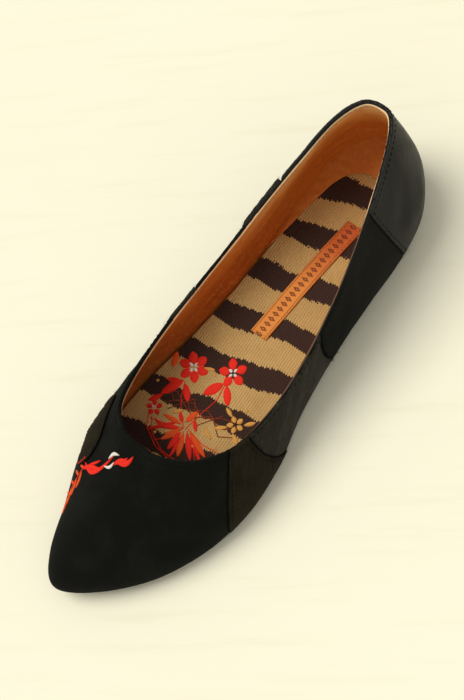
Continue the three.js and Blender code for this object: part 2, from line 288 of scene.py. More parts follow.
def waves(a, b, seed, lengths):
    """Soft uneven relief from -1 to 1 over a surface measured in millimetres."""
    rng = np.random.default_rng(seed)
    total = 0
    for length in lengths:
        turn, phase = rng.uniform(0, 2 * np.pi, 2)
        lean = 1.5 * np.sin(b / (1.7 * length) + phase)
        total = total + np.sin(2 * np.pi * (a * np.cos(turn) + b * np.sin(turn)) / length + phase + lean)
    return total / len(lengths)


def arc(start, middle, end, t):
    """A curve that leaves start towards middle and comes to end."""
    return (1 - t) ** 2 * start + 2 * t * (1 - t) * middle + t**2 * end


FOLD_STEPS = 13
FOLD_REACH = 60.0


def folds(points, table):
    """Depth of soft folds at points of the skin. Each fold is a trough with a low ridge along both sides."""
    depth = np.zeros(len(points))
    t = np.linspace(0, 1, FOLD_STEPS)
    for start, middle, end, width, deep in table:
        line = skin(*(arc(*places, t) for places in zip(start, middle, end)))
        near = np.flatnonzero(np.linalg.norm(points - line[FOLD_STEPS // 2], axis=1) < FOLD_REACH)
        distances = np.linalg.norm(points[near, None] - line[None], axis=2)
        closest = distances.argmin(1)
        fade = np.sin(np.pi * (0.08 + 0.84 * t[closest])) ** 1.5
        away = distances.min(1) / width
        trough = np.exp(-(away**2)) - 0.4 * np.exp(-((away - 1.9) ** 2))
        depth[near] += deep * fade * trough
    return depth


def lip(distance, radius):
    """Rounded edge: 0 at the edge, 1 from a radius inwards."""
    inside = np.clip(distance / radius, 0, 1)
    return np.sqrt(1 - (1 - inside) ** 2)


def crowd(t, share):
    """Moves even steps towards both ends."""
    return t - share * np.sin(2 * np.pi * t) / (2 * np.pi)


# Meshes

def add_object(name, data):
    made = bpy.data.objects.new(name, data)
    bpy.context.scene.collection.objects.link(made)
    return made


def finished_mesh(name, sheet):
    """A mesh from a bmesh, which ends with it."""
    mesh = bpy.data.meshes.new(name)
    sheet.to_mesh(mesh)
    sheet.free()
    return mesh


def add_piece(name, mesh, finish, stands_for=()):
    """Makes a mesh a smooth piece of the shoe."""
    mesh.polygons.foreach_set("use_smooth", [True] * len(mesh.polygons))
    mesh.materials.append(FINISHES[finish])
    piece = add_object(name, mesh)
    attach(piece, "root")
    if stands_for:
        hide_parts(*stands_for)
    return piece


def flat_grid(sheet, columns, rows):
    """Adds a flat grid. Returns its corners, and the place of each in it, from 0 to 1."""
    made = bmesh.ops.create_grid(sheet, x_segments=columns, y_segments=rows, size=0.5)["verts"]
    corners = np.array([vert.co for vert in made])[:, :2]
    low, high = corners.min(0), corners.max(0)
    return made, (corners - low) / (high - low)


def place_grid(sheet, verts, points, chart, flip=False):
    """Moves a grid's corners to points, and gives its faces a UV map from a chart in millimetres."""
    uv = sheet.loops.layers.uv.verify()
    number = {vert: k for k, vert in enumerate(verts)}
    faces = {face for vert in verts for face in vert.link_faces}
    for face in faces:
        for loop in face.loops:
            loop[uv].uv = chart[number[loop.vert]] * MM
    for vert, point in zip(verts, points):
        vert.co = point * MM
    if flip:
        bmesh.ops.reverse_faces(sheet, faces=list(faces))


def add_sheet(name, columns, rows, form, finish, flip=False, merge=False, thickness=0, stands_for=()):
    """A piece from one grid. form gives points and chart from the places in the grid. A thickness lies behind
    the face. A merged piece without one is closed, and its faces point outwards."""
    sheet = bmesh.new()
    verts, places = flat_grid(sheet, columns, rows)
    points, chart = form(*places.T)
    place_grid(sheet, verts, points, chart, flip)
    if merge:
        bmesh.ops.remove_doubles(sheet, verts=sheet.verts, dist=0.01 * MM)
    if merge and not thickness:
        bmesh.ops.recalc_face_normals(sheet, faces=sheet.faces)
    piece = add_piece(name, finished_mesh(name, sheet), finish, stands_for)
    if thickness:
        modifier = piece.modifiers.new("thickness", "SOLIDIFY")
        modifier.thickness = thickness * MM
        modifier.offset = -1
        modifier.use_even_offset = False


def copies(name, template, points, ways, normals, sizes, finish):
    """Many copies of a small shape in one piece. ways and normals turn each copy, sizes stretch it."""
    bmesh.ops.rotate(template, verts=template.verts, matrix=Matrix.Rotation(math.pi / 2, 3, "Y"))
    template.verts.ensure_lookup_table()
    corners = np.array([vert.co for vert in template.verts])
    triangles = bmesh.ops.triangulate(template, faces=template.faces)["faces"]
    faces = np.array([[vert.index for vert in face.verts] for face in triangles])
    template.free()
    sizes = np.broadcast_to(sizes, points.shape)
    ways = unit(ways)
    sides = unit(np.cross(normals, ways))
    tops = np.cross(ways, sides)
    turned = (
        corners[None, :, :1] * sizes[:, None, :1] * ways[:, None]
        + corners[None, :, 1:2] * sizes[:, None, 1:2] * sides[:, None]
        + corners[None, :, 2:] * sizes[:, None, 2:] * tops[:, None]
    )
    all_points = (points[:, None] + turned).reshape(-1, 3) * MM
    all_faces = (faces[None] + len(corners) * np.arange(len(points))[:, None, None]).reshape(-1, 3)
    mesh = bpy.data.meshes.new(name)
    mesh.from_pydata(all_points.tolist(), [], all_faces.tolist())
    add_piece(name, mesh, finish)


def add_stitches(name, points, ways, normals, size, finish, slot="thread"):
    """Stitches as rounded beads: size is their length, width and thickness."""
    bead = bmesh.new()
    bmesh.ops.create_uvsphere(bead, u_segments=8, v_segments=6, radius=0.5)
    copies(name, bead, points, ways, normals, size, finish)


def add_fibres(name, points, ways, normals, sizes, finish):
    """Fibres as thin three-sided spikes."""
    spike = bmesh.new()
    bmesh.ops.create_cone(spike, cap_ends=True, segments=3, radius1=0.5, radius2=0.1, depth=1)
    copies(name, spike, points, ways, normals, sizes, finish)


def joined(rows):
    """Several rows of points, ways and the like as one."""
    return [np.concatenate(parts) for parts in zip(*rows)]


def between(places, known, values):
    """Rows of values at places between those where they are known."""
    return np.stack([np.interp(places, known, column) for column in values.T], 1)


def spaced(line, pitch):
    """Points at an even pitch along a line of points, the line's way there, and their share of its points."""
    lengths = lengths_along(line)
    count = max(2, int(lengths[-1] / pitch))
    places = (np.arange(count) + 0.5) * lengths[-1] / count
    step = 0.3 * pitch
    ways = between(places + step, lengths, line) - between(places - step, lengths, line)
    return between(places, lengths, line), ways, np.interp(places, lengths, np.linspace(0, 1, len(line)))


# Materials

class Signal:
    """A shader socket that Python arithmetic works on."""

    def __init__(self, paint, socket):
        self.paint = paint
        self.socket = socket

    def math(self, operation, *others, clamp=False):
        values = dict(enumerate((self, *others)))
        return self.paint.node("ShaderNodeMath", {"operation": operation, "use_clamp": clamp}, values)

    def __add__(self, other):
        return self.math("ADD", other)

    def __mul__(self, other):
        return self.math("MULTIPLY", other)

    def __sub__(self, other):
        return self.math("SUBTRACT", other)

    def __truediv__(self, other):
        return self.math("DIVIDE", other)

    def __rsub__(self, other):
        return self.paint.node("ShaderNodeMath", {"operation": "SUBTRACT"}, {0: other, 1: self})

    __radd__ = __add__
    __rmul__ = __mul__

    def ramp(self, start, end):
        """0 up to start, 1 from end, smooth between."""
        return self.paint.node(
            "ShaderNodeMapRange",
            {"interpolation_type": "SMOOTHSTEP"},
            {"Value": self, "From Min": start, "From Max": end},
        )


class Paint:
    """A material round one Principled shader, and the nodes that feed it."""

    def __init__(self, name, **constants):
        self.material = bpy.data.materials.new(name)
        self.material.use_nodes = True
        self.tree = self.material.node_tree
        self.shader = self.tree.nodes["Principled BSDF"]
        for socket, value in constants.items():
            self.shader.inputs[socket.replace("_", " ")].default_value = value

    def node(self, kind, settings, sockets, output=0):
        """Adds a node: its settings first, then its sockets' values or links. Returns one output."""
        made = self.tree.nodes.new(kind)
        for name, value in settings.items():
            setattr(made, name, value)
        for name, value in sockets.items():
            if isinstance(value, Signal):
                self.tree.links.new(value.socket, made.inputs[name])
            else:
                made.inputs[name].default_value = value
        return Signal(self, made.outputs[output])

    def place(self):
        """Place in the shoe, in metres."""
        return self.node("ShaderNodeTexCoord", {}, {}, "Object")

    def chart(self):
        """Place on the piece's own surface, in metres."""
        return self.node("ShaderNodeTexCoord", {}, {}, "UV")

    def split(self, vector):
        parts = self.tree.nodes.new("ShaderNodeSeparateXYZ")
        self.tree.links.new(vector.socket, parts.inputs[0])
        return tuple(Signal(self, parts.outputs[k]) for k in range(3))

    def join(self, x, y, z=0.0):
        return self.node("ShaderNodeCombineXYZ", {}, {0: x, 1: y, 2: z})

    def noise(self, vector, size, detail=3.0, roughness=0.55):
        """Uneven clouds of about that size in millimetres, from 0 to 1."""
        sockets = {"Vector": vector, "Scale": 1 / (size * MM), "Detail": detail, "Roughness": roughness}
        return self.node("ShaderNodeTexNoise", {}, sockets, "Fac")

    def cells(self, vector, size, feature="F1"):
        """Leather grain: the distance from the middle of each cell."""
        sockets = {"Vector": vector, "Scale": 1 / (size * MM)}
        return self.node("ShaderNodeTexVoronoi", {"feature": feature}, sockets, "Distance")

    def blend(self, factor, low, high):
        """Mixes two colours, each a signal or its red, green and blue."""
        low, high = (x if isinstance(x, Signal) else (*x, 1.0) for x in (low, high))
        return self.node("ShaderNodeMix", {"data_type": "RGBA"}, {0: factor, 6: low, 7: high}, 2)

    def set(self, socket, signal):
        self.tree.links.new(signal.socket, self.shader.inputs[socket])

    def emboss(self, height):
        """Relief from a height in millimetres."""
        bump = self.node("ShaderNodeBump", {}, {"Strength": 1.0, "Distance": MM, "Height": height})
        self.set("Normal", bump)


def suede():
    """Matte black suede: a fine nap, brushed a little lighter in places."""
    paint = Paint("suede", Roughness=0.95, Sheen_Weight=0.02, Sheen_Roughness=0.5, Specular_IOR_Level=0.04)
    place = paint.place()
    nap = paint.noise(place, 0.35, 4)
    brushed = paint.noise(place, 14, 3).ramp(0.42, 0.7)
    worn = paint.noise(place, 3.5, 5, 0.65).ramp(0.55, 0.8)
    dark = paint.blend(brushed, (0.0060, 0.0062, 0.0048), (0.0092, 0.0094, 0.0072))
    soft = paint.blend(worn * 0.15, dark, (0.016, 0.0152, 0.0125))
    rear = paint.split(place)[1].ramp(-62 * MM, -22 * MM)
    soft = paint.blend(rear * (0.36 + worn * 0.3), soft, (0.026, 0.0255, 0.0215))
    paint.set("Base Color", paint.blend(nap * 0.5, soft, (0.0028, 0.0028, 0.0024)))
    paint.emboss(nap * 0.14 + paint.noise(place, 1.6, 3) * 0.12 + paint.noise(place, 7, 2) * 0.12)
    return paint.material


def crinkled_leather():
    """Thin worn leather, brown-black, with crinkles across it and a dull shine."""
    paint = Paint("crinkled leather", Specular_IOR_Level=0.13)
    place = paint.place()
    round_shoe, height, _ = paint.split(paint.chart())
    stretched = paint.join(round_shoe * 2.6, height)
    crinkle = paint.noise(stretched, 5.0, 6, 0.62)
    grain = paint.cells(place, 0.7)
    patchy = paint.noise(place, 9, 3).ramp(0.35, 0.7)
    base = paint.blend(patchy, (0.0075, 0.0068, 0.0045), (0.021, 0.0178, 0.0115))
    paint.set("Base Color", paint.blend(crinkle.ramp(0.52, 0.78), base, (0.046, 0.039, 0.026)))
    paint.set("Roughness", 0.5 + patchy * 0.25)
    paint.emboss(crinkle * 0.85 + grain * 0.06 + paint.noise(place, 0.5, 2) * 0.05)
    return paint.material


def brushed_leather():
    """Brown-black leather with a satin shine, brushed up and down."""
    paint = Paint("brushed leather", Specular_IOR_Level=0.05)
    place = paint.place()
    round_shoe, height, _ = paint.split(paint.chart())
    streaks = paint.noise(paint.join(round_shoe * 3.2, height * 0.35), 4.0, 5, 0.6)
    clouds = paint.noise(place, 11, 3).ramp(0.35, 0.7)
    base = paint.blend(clouds, (0.0090, 0.0070, 0.0036), (0.0185, 0.0143, 0.0074))
    paint.set("Base Color", paint.blend(streaks.ramp(0.48, 0.72) * 0.8, base, (0.025, 0.0190, 0.0108)))
    paint.set("Roughness", 0.62 + clouds * 0.2)
    paint.emboss(streaks * 0.4 + paint.cells(place, 0.55) * 0.05 + paint.noise(place, 0.4, 2) * 0.04)
    return paint.material


def smooth_leather():
    """The counter's smooth dark grey leather, with soft broad highlights and a fine grain."""
    paint = Paint("smooth leather", Specular_IOR_Level=0.13, Coat_Roughness=0.35)
    place = paint.place()
    round_shoe, height, _ = paint.split(paint.chart())
    clouds = paint.noise(place, 12, 4).ramp(0.35, 0.72)
    low = 1 - paint.split(place)[2].ramp(10 * MM, 40 * MM)
    scuffs = paint.noise(paint.join(round_shoe * 2.4, height * 0.6), 5, 5, 0.65)
    rubbed = scuffs.ramp(0.55, 0.82) * (1 - low * 0.6)
    base = paint.blend(clouds, (0.0052, 0.0050, 0.0042), (0.0108, 0.0103, 0.0086))
    dark = paint.blend(low * 0.75, base, (0.0030, 0.0029, 0.0025))
    paint.set("Base Color", paint.blend(rubbed * 0.6, dark, (0.030, 0.0283, 0.0240)))
    paint.set("Roughness", 0.44 + clouds * 0.16)
    paint.set("Coat Weight", 0.06 - rubbed * 0.05)
    grain = paint.cells(place, 0.6, "SMOOTH_F1")
    paint.emboss(grain * 0.07 + paint.noise(place, 0.3, 2) * 0.02 + paint.noise(place, 6, 3) * 0.25)
    return paint.material


def tan_lining():
    """The lining's tan leather: redder forward and darker towards the toe as painted shade, golden at the
    heel under a paler band, paler on the outer side as painted light, its cut edge light with a painted
    highlight at the heel.
    """
    paint = Paint("tan lining", Specular_IOR_Level=0.2)
    place = paint.place()
    x, y, _ = paint.split(place)
    round_shoe, depth, _ = paint.split(paint.chart())
    heel = y.ramp(-70 * MM, 12 * MM)
    # painted light: the outer side's lining faces the key light, so it gets less of the deep colour and of
    # the flush, and is paler
    outer = x.ramp(2 * MM, 22 * MM)
    soft = paint.noise(place, 14, 4, 0.6)
    streaks = paint.noise(paint.join(round_shoe * 0.55, depth * 1.1), 8, 4, 0.58)
    flush = paint.noise(paint.join(round_shoe * 0.8, depth), 17, 3).ramp(0.42, 0.68)
    mottle = paint.noise(place, 2.2, 5, 0.62)
    forward = paint.blend(depth.ramp(3 * MM, 24 * MM), (0.66, 0.172, 0.015), (0.46, 0.092, 0.008))
    # painted shade: the lining darker towards the toe, deep inside the shoe
    shade = y.ramp(-130 * MM, -75 * MM)
    forward = paint.blend(shade, (0.34, 0.112, 0.018), forward)
    deep = (depth + soft * (16 * MM)).ramp(16 * MM, 34 * MM) * (1 - outer * 0.7)
    golden = paint.blend(deep, (0.76, 0.355, 0.074), (0.54, 0.172, 0.023))
    leather = paint.blend(heel, forward, golden)
    # pale: a paler band at the top of the heel lining, and painted light over the outer side's lining
    pale = heel * (1 - (depth + soft * (9 * MM)).ramp(6 * MM, 18 * MM)).math("MAXIMUM", outer * 0.9)
    paler = paint.blend(pale * 0.75, leather, (0.95, 0.62, 0.27))
    flushed = paint.blend(flush * (0.45 - heel * 0.2 - outer * 0.15), paler, (0.54, 0.110, 0.016))
    stained = paint.blend(streaks.ramp(0.5, 0.8) * 0.3, flushed, (0.34, 0.068, 0.011))
    lively = paint.blend(mottle.ramp(0.45, 0.8) * 0.45, stained, (0.72, 0.30, 0.07))
    # The cut edge: its own light colour, with a painted highlight that makes it brighter and wider towards
    # the heel
    cut_edge = 1 - (depth - heel * (0.8 * MM) - mottle * (0.7 * MM)).ramp(0.0, 0.5 * MM)
    dull = x.ramp(0.0, 16 * MM) * (1 - y.ramp(-20 * MM, -8 * MM))
    cut = paint.blend(y.ramp(-60 * MM, -5 * MM), (0.52, 0.26, 0.115), (0.80, 0.56, 0.30))
    cut = paint.blend(dull * 0.9, cut, (0.075, 0.036, 0.018))
    paint.set("Base Color", paint.blend(cut_edge, lively, cut))
    paint.set("Roughness", 0.48 + mottle * 0.22)
    paint.emboss(paint.cells(place, 0.8, "SMOOTH_F1") * 0.1 + mottle * 0.22 + streaks * 0.6)
    return paint.material


# The knit's ribs and courses, and its dark bands, measured from the heel back
RIB = 1.3
COURSE = 0.95
STRIPE_PITCH = 23.3
DARK_WIDTH = 10.2
FIRST_DARK_MIDDLE = 35.1
REAR_BEND = 4.0
STRIPE_SLANT = 0.2


def striped_knit():
    """The insole's knit: ribs from heel to toe, painted shade between them, and dark bands whose edges step
    from rib to rib.
    """
    paint = Paint("striped knit", Roughness=0.92, Sheen_Weight=0.06, Specular_IOR_Level=0.1)
    place = paint.place()
    x, y, _ = paint.split(place)
    across = x / (RIB * MM)
    along = (HEEL_BACK_Y * MM - y) / (COURSE * MM)
    rib = across.math("FLOOR")
    in_rib = across.math("FRACT")
    leg = (in_rib - 0.5).math("ABSOLUTE") * 2
    course = (along + leg * 0.8).math("FLOOR")
    in_course = (along + leg * 0.8).math("FRACT")
    wander = paint.noise(paint.join(rib * 0.013, course * 0.0004), 40, 2) * 1.1
    bow = paint.noise(paint.join(x, y * 0.8), 30, 1) * 9
    bend = y.ramp(-15 * MM, 8 * MM) * REAR_BEND + (wander + bow)
    band = (course * COURSE + rib * (RIB * STRIPE_SLANT) + bend - FIRST_DARK_MIDDLE) / STRIPE_PITCH
    from_middle = ((band + 0.5).math("FRACT") - 0.5).math("ABSOLUTE") * STRIPE_PITCH
    dark = 1 - from_middle.math("GREATER_THAN", DARK_WIDTH / 2)
    fuzz = paint.noise(place, 0.5, 4)
    soil = paint.noise(place, 18, 4).ramp(0.4, 0.75)
    light_yarn = paint.blend(fuzz, (0.52, 0.305, 0.105), (0.80, 0.53, 0.205))
    light_worn = paint.blend(soil * 0.45, light_yarn, (0.46, 0.265, 0.09))
    dark_yarn = paint.blend(fuzz, (0.026, 0.012, 0.009), (0.070, 0.035, 0.025))
    yarn = paint.blend(dark, light_worn, dark_yarn)
    # painted shade: darker in the valleys between the ribs and between the courses
    between = in_rib.math("PINGPONG", 0.5).ramp(0.0, 0.2)
    valley_shade = 1 - between * (1 - (in_course - 0.5).math("ABSOLUTE").ramp(0.35, 0.5) * 0.7)
    paint.set("Base Color", paint.blend(valley_shade * 0.32, yarn, (0.05, 0.024, 0.012)))
    bulge = (in_rib * (2 * math.pi)).math("COSINE") * -0.12
    row = (in_course * (2 * math.pi)).math("COSINE") * -0.1
    paint.emboss(bulge + row + fuzz * 0.16)
    return paint.material


def strip_leather():
    """The insole strip's orange leather: redder at the rear, with a plain tooled border and row of marks."""
    paint = Paint("strip leather", Specular_IOR_Level=0.22)
    place = paint.place()
    across, along, _ = paint.split(paint.chart())
    forward = along.ramp(5 * MM, 44 * MM)
    mottle = paint.noise(place, 2.2, 5, 0.6)
    leather = paint.blend(forward, (0.50, 0.080, 0.008), (0.68, 0.225, 0.030))
    worn = paint.blend(mottle.ramp(0.5, 0.8) * 0.5, leather, (0.72, 0.29, 0.055))
    step = (along / (2.9 * MM)).math("FRACT") - 0.5
    diamond = step.math("ABSOLUTE") * 1.3 + (across / (4.6 * MM)).math("ABSOLUTE")
    mark = (1 - diamond.ramp(0.38, 0.48)) * diamond.ramp(0.1, 0.22)
    side = across.math("ABSOLUTE")
    border = side.ramp(3.25 * MM, 3.4 * MM) * (1 - side.ramp(3.6 * MM, 3.75 * MM))
    tooled = mark.math("MAXIMUM", border * 0.6)
    paint.set("Base Color", paint.blend(tooled * 0.85, worn, (0.13, 0.026, 0.008)))
    paint.set("Roughness", 0.45 + mottle * 0.25)
    paint.emboss(mottle * 0.12 - tooled * 0.3 + paint.cells(place, 0.6, "SMOOTH_F1") * 0.08)
    return paint.material


def sole_leather():
    """Dark stained sole leather, scuffed grey where it meets the ground."""
    paint = Paint("sole leather", Specular_IOR_Level=0.35)
    place = paint.place()
    _, _, z = paint.split(place)
    low = 1 - z.ramp(0.2 * MM, 1.6 * MM)
    scuffs = paint.noise(paint.join(*paint.split(place)[:2]), 6, 6, 0.7).ramp(0.45, 0.7)
    fibre = paint.noise(place, 0.5, 4)
    base = paint.blend(fibre, (0.012, 0.0095, 0.0075), (0.024, 0.019, 0.015))
    paint.set("Base Color", paint.blend(low * scuffs, base, (0.085, 0.07, 0.055)))
    paint.set("Roughness", 0.55 + low * scuffs * 0.3)
    paint.emboss(fibre * 0.06 + scuffs * low * -0.12)
    return paint.material


def lift_rubber():
    """Matte black rubber with a fine pebbled face."""
    paint = Paint("lift rubber", Specular_IOR_Level=0.3)
    place = paint.place()
    pebbles = paint.cells(place, 1.1)
    dust = paint.noise(place, 5, 5, 0.65).ramp(0.5, 0.75)
    paint.set("Base Color", paint.blend(dust * 0.6, (0.011, 0.0105, 0.010), (0.055, 0.05, 0.043)))
    paint.set("Roughness", 0.7 + dust * 0.2)
    paint.emboss(pebbles * 0.12)
    return paint.material


def thread(name, shade, light, sheen=0.03, shine=0.15):
    """Twisted thread: two shades along it, and a soft shine."""
    paint = Paint(name, Roughness=0.6, Sheen_Weight=sheen, Specular_IOR_Level=shine)
    twist = paint.noise(paint.place(), 0.45, 3)
    paint.set("Base Color", paint.blend(twist, shade, light))
    paint.emboss(twist * 0.12)
    return paint.material


def floor_paint():
    """A cream floor with faint grain across the picture."""
    paint = Paint("floor", Roughness=0.8, Specular_IOR_Level=0.15)
    x, y, _ = paint.split(paint.place())
    along = x * 0.81 + y * 0.59
    athwart = y * 0.81 - x * 0.59
    grain = paint.noise(paint.join(along * 0.09, athwart), 7, 4, 0.6)
    soft = paint.noise(paint.place(), 260, 2)
    base = paint.blend(soft, (0.83, 0.79, 0.62), (0.87, 0.84, 0.67))
    paint.set("Base Color", paint.blend(grain.ramp(0.5, 0.85) * 0.5, base, (0.76, 0.72, 0.52)))
    return paint.material


FINISHES = {
    "suede": suede(),
    "crinkled leather": crinkled_leather(),
    "brushed leather": brushed_leather(),
    "smooth leather": smooth_leather(),
    "tan lining": tan_lining(),
    "striped knit": striped_knit(),
    "strip leather": strip_leather(),
    "sole leather": sole_leather(),
    "lift rubber": lift_rubber(),
}

# Threads: shade and light colour, and sheen and shine where they aren't the usual ones
THREADS = {
    "black": ((0.002, 0.002, 0.002), (0.006, 0.006, 0.005), 0.0, 0.03),
    "tan": ((0.36, 0.13, 0.035), (0.58, 0.27, 0.095)),
    "red": ((0.58, 0.010, 0.005), (0.92, 0.035, 0.013)),
    "orange": ((0.60, 0.055, 0.007), (0.88, 0.125, 0.016)),
    "gold": ((0.50, 0.22, 0.04), (0.78, 0.42, 0.10)),
    "white": ((0.62, 0.56, 0.47), (0.85, 0.80, 0.72)),
    "brown": ((0.12, 0.018, 0.006), (0.30, 0.045, 0.014)),
}
FINISHES |= {f"{name} thread": thread(f"{name} thread", *looks) for name, looks in THREADS.items()}


# Upper

def seam_place(k, v):
    """Place of a patch's seam round the shoe. The row after the last is the first, one turn on."""
    _, top, foot, _, _ = PATCHES[k % len(PATCHES)]
    return foot + (top - foot) * v + ROUND * (k // len(PATCHES))


# Cut edges of the patches, in millimetres: half the groove at a seam, how ragged they are, how they round and
# drop at a seam, how the topline rounds, and how the lower edge is tucked in
SEAM_GROOVE = 0.06
RAGGED = 0.28
SEAM_LIP = 0.55
SEAM_DROP = 0.5
TOPLINE_LIP = 1.3
TUCK_LIP = 2.2
TUCK = 0.9
PATCH_THICKNESS = 0.4
PATCH_COLUMNS_PER_ROW = 26
PATCH_SPARE_COLUMNS = 24
PATCH_ROWS = 92


def seam_edge(k, v, side):
    """A patch's own cut edge beside a seam: a little uneven, and clear of the patch on the other side."""
    middle = seam_place(k, v)
    seed = 40 + 2 * (k % len(PATCHES)) + (side > 0)
    uneven = waves(v * 55, 0, seed, (3.1, 5.3, 11.0)) * RAGGED
    return middle + (side * (SEAM_GROOVE + RAGGED) + uneven) / girth_per_row(middle, v)


def patch_form(k):
    """Face of one patch, with lips along its seams, a rounded topline and a tucked lower edge."""
    _, _, _, proud, kind = PATCHES[k]
    topline_wear = 0.5 if kind == "crinkled leather" else 0.3

    def form(s, t):
        s = crowd(s, 0.75)
        v = crowd(t, 0.7)
        start = seam_edge(k, v, 1)
        end = seam_edge(k + 1, v, -1)
        u = start + (end - start) * s
        tall = wall_height(u)
        low = waves(girth(u), 0, 90 + k, (2.7, 4.9, 9.7)) - 1
        v = v * (1 + topline_wear * low / tall)
        across = (end - start) * girth_per_row((start + end) / 2, v)
        seam_lip = np.minimum(lip(s * across, SEAM_LIP), lip((1 - s) * across, SEAM_LIP))
        face = proud - (proud + SEAM_DROP) * (1 - seam_lip)
        points = skin(u, v)
        face = face - folds(points, CREASES) + 0.22 * waves(girth(u), v * tall, 7, (17, 26, 41, 58))
        face = LINING_BACK + (face - LINING_BACK) * lip((1 - t) * tall, TOPLINE_LIP)
        face = face - TUCK * (1 - lip(v * tall, TUCK_LIP))
        points = points + outward(u, v) * face[:, None]
        return points, np.stack([girth(u), v * tall], 1)

    return form


def add_patches():
    for k, (name, top, foot, _, finish) in enumerate(PATCHES):
        _, next_top, next_foot, _, _ = PATCHES[(k + 1) % len(PATCHES)]
        rows_wide = ((next_top + next_foot) - (top + foot)) / 2 % ROUND
        columns = int(PATCH_COLUMNS_PER_ROW * rows_wide) + PATCH_SPARE_COLUMNS
        form = patch_form(k)
        add_sheet(
            f"{name}_patch", columns, PATCH_ROWS, form, finish, flip=True, thickness=PATCH_THICKNESS
        )


# How high up the wall the backing and the lining end, the topline being 1
BACKING_TOP = 0.993
LINING_TOP = 0.986


def backing_form(s, t):
    """The dark layer behind the patches, which fills the groove at their seams."""
    u = ROUND * s
    v = BACKING_TOP * t
    tall = wall_height(u)
    face = LINING_BACK + (BACKING_FACE - LINING_BACK) * lip((1 - v) * tall, TOPLINE_LIP)
    return off(u, v, face), np.stack([girth(u), v * tall], 1)


def lining_form(s, t):
    """The lining's face, softly wrinkled. Its chart counts down from the cut edge."""
    u = ROUND * s
    v = LINING_TOP * crowd(t, 0.6)
    tall = wall_height(u)
    points = skin(u, v)
    soft = 0.18 * waves(girth(u), v * tall, 21, (13, 19, 33))
    face = LINING_FACE - np.maximum(0, folds(points, LINING_WRINKLES)) * 0.9 + np.minimum(soft, 0.1)
    face = LINING_BACK + (face - LINING_BACK) * lip((1 - t) * tall, 0.7)
    points = points + outward(u, v) * face[:, None]
    return points, np.stack([girth(u), (LINING_TOP - v) * tall], 1)


# How far the lining reaches in over the insole round the heel: place round the shoe, and millimetres
SEAT_REACH = [
    (19.9, 0.0), (20.5, 2.5), (21.0, 4.0), (21.5, 5.0), (22.0, 7.0), (22.5, 10.5), (23.0, 14.0), (23.5, 14.5),
    (24.0, 14.0), (24.5, 14.5), (25.0, 13.0), (25.5, 9.5), (26.0, 6.5), (26.5, 4.5), (27.0, 3.0), (28.0, 0.0),
]
SEAT_EDGE = 0.7


def seat_lining_form(s, t):
    """The lining's foot round the heel, from the wall down and in over the rear of the insole."""
    places, reaches = zip(*SEAT_REACH)
    u = places[0] + (places[-1] - places[0]) * s
    reach = np.interp(u, places, reaches)
    start = 0.06 + 0.009 * reach
    high = off(u, start, LINING_FACE + 0.35)
    inward = -edge_outward(u)
    corner = np.column_stack([outline(WALL + INSOLE_CLEARANCE, u), 0 * u])
    low = corner + inward * reach[:, None]
    low[:, 2] = insole_top(*low.T[:2]) + SEAT_EDGE
    corner[:, 2] = insole_top(*corner.T[:2]) + 1.0 + 0.06 * reach
    corner = corner + inward * (0.2 * reach)[:, None]
    points = arc(high, corner, low, t[:, None])
    depth = (LINING_TOP - start) * wall_height(u) + t * (0.5 * reach + 5)
    points[:, 2] += 0.35 * waves(girth(u), depth * 1.5, 33, (6, 9, 15)) * np.sin(np.pi * t)
    return points, np.stack([girth(u), depth], 1)


def add_upper_layers():
    add_sheet(
        "upper_backing", 420, 30, backing_form, "suede",
        flip=True, merge=True, thickness=0.9, stands_for=("upper",),
    )
    add_sheet("upper_lining", 520, 84, lining_form, "tan lining", merge=True, thickness=0.55)
    add_sheet("seat_lining", 260, 30, seat_lining_form, "tan lining", flip=True, thickness=0.4)


# Rows of stitches: pitch along the row, and distance in from the topline or the seam
TOPLINE_PITCH = 2.6
COLLAR_INSET = 2.6
LINING_INSET = 2.2
SEAM_PITCH = 2.7
SEAM_INSET = 2.2


def patch_at(u, v):
    """Number of the patch at each place of the wall."""
    u = np.where(u < seam_place(0, v), u + ROUND, u)
    return np.array([max(k for k in range(len(PATCHES)) if seam_place(k, v) <= place) for place in u])


def topline_stitches():
    """The row of black stitches round the collar, and the tan row inside it."""
    u = np.linspace(0, ROUND, 1500)
    proud = np.array([PATCHES[k][3] for k in patch_at(u, 0.97)])
    outside = off(u, 1 - COLLAR_INSET / wall_height(u), proud + 0.05)
    points, ways, share = spaced(outside, TOPLINE_PITCH)
    normals = outward(ROUND * share, 0.95)
    add_stitches("collar_stitches", points, ways, normals, (1.7, 0.36, 0.24), "black thread")
    u = np.linspace(16, ROUND + 8, 1000)
    inside = off(u, 1 - LINING_INSET / wall_height(u), LINING_FACE - 0.02)
    points, ways, share = spaced(inside, TOPLINE_PITCH)
    normals = -outward(16 + 16 * share, 0.95)
    add_stitches("lining_stitches", points, ways, normals, (1.9, 0.5, 0.36), "tan thread")


def seam_stitches():
    """A row of black stitches beside each seam, on the patch that overlaps the other."""
    rows = []
    v = np.linspace(0.04, 0.95, 60)
    for k, (_, _, _, after, _) in enumerate(PATCHES):
        before = PATCHES[k - 1][3]
        side = 1 if after > before else -1
        seam = seam_place(k, v)
        u = seam + side * SEAM_INSET / girth_per_row(seam, v)
        points, ways, share = spaced(off(u, v, max(before, after) + 0.02), SEAM_PITCH)
        height = np.interp(share, np.linspace(0, 1, len(v)), v)
        rows.append((points, ways, outward(np.interp(height, v, u), height)))
    add_stitches("seam_stitches", *joined(rows), (1.9, 0.45, 0.34), "black thread")


# Corners where the edges are torn: place round the shoe, and how high up the wall
TORN_CORNERS = [(2.85, 0.14), (4.9, 0.12), (19.3, 0.97)]
TORN_FIBRES = 60


